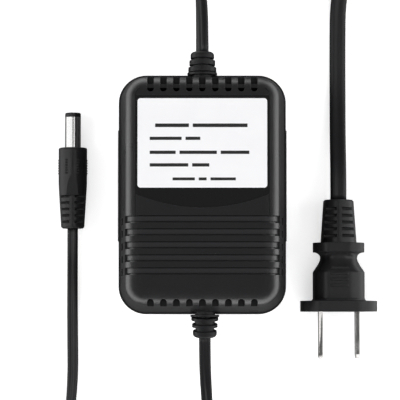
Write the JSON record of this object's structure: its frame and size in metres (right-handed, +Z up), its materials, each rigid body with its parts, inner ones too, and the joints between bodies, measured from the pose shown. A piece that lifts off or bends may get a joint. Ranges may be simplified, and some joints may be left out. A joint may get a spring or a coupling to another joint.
{
  "type": "plug-in ac transformer",
  "caption": "Ribbed black plug-in AC transformer with a blank white label, a coiled mains cord with a flat-blade plug and a coiled low-voltage cord with a barrel plug.",
  "frame": {"origin": "middle of the case's underside, on the surface that it rests on", "axes": "+Z up through the label, +Y towards the end that the mains cord leaves, +X to the mains plug's side"},
  "size_m": [0.1138, 0.2675, 0.046],
  "materials": {
    "case_plastic": "satin moulded",
    "label_paper": "smooth white",
    "core_steel": "varnished sheets",
    "bobbin_plastic": "natural nylon",
    "winding_copper": "enamelled wire",
    "winding_tape": "yellow film tape",
    "fuse_metal": "bright",
    "terminal_tin": "tinned",
    "relief_rubber": "satin moulded",
    "cord_jacket": "soft satin",
    "lead_black": "satin",
    "lead_white": "satin",
    "plug_rubber": "satin moulded",
    "insert_plastic": "moulded",
    "blade_nickel": "nickel plated",
    "barrel_nickel": "nickel plated",
    "insulator_plastic": "gloss",
    "screw_steel": "zinc plated"
  },
  "bodies": {
    "root": {"top_case": "case_plastic", "bottom_case": "case_plastic", "rating_label": "label_paper", "core_e_stack": "core_steel", "core_i_stack": "core_steel", "bobbin": "bobbin_plastic", "primary_winding": "winding_copper", "secondary_winding": "winding_copper", "primary_tape": "winding_tape", "secondary_tape": "winding_tape", "thermal_fuse": "fuse_metal", "terminal_pins": "terminal_tin", "input_strain_relief": "relief_rubber", "output_strain_relief": "relief_rubber", "live_lead": "lead_black", "neutral_lead": "lead_white", "output_lead_a": "lead_black", "output_lead_b": "lead_white", "case_screws": "screw_steel", "mains_cord_body_run": "cord_jacket", "mains_cord_coil": "cord_jacket", "mains_cord_plug_run": "cord_jacket", "output_cord_body_run": "cord_jacket", "output_cord_coil": "cord_jacket", "output_cord_plug_run": "cord_jacket", "mains_plug_body": "plug_rubber", "mains_plug_insert": "insert_plastic", "blade_left": "blade_nickel", "blade_right": "blade_nickel", "plug_wire_left": "lead_black", "plug_wire_right": "lead_white", "dc_plug_handle": "plug_rubber", "barrel_sleeve": "barrel_nickel", "barrel_insulator": "insulator_plastic", "center_contact": "barrel_nickel", "dc_wire_sleeve": "lead_black", "dc_wire_tip": "lead_white"}
  },
  "joints": []
}
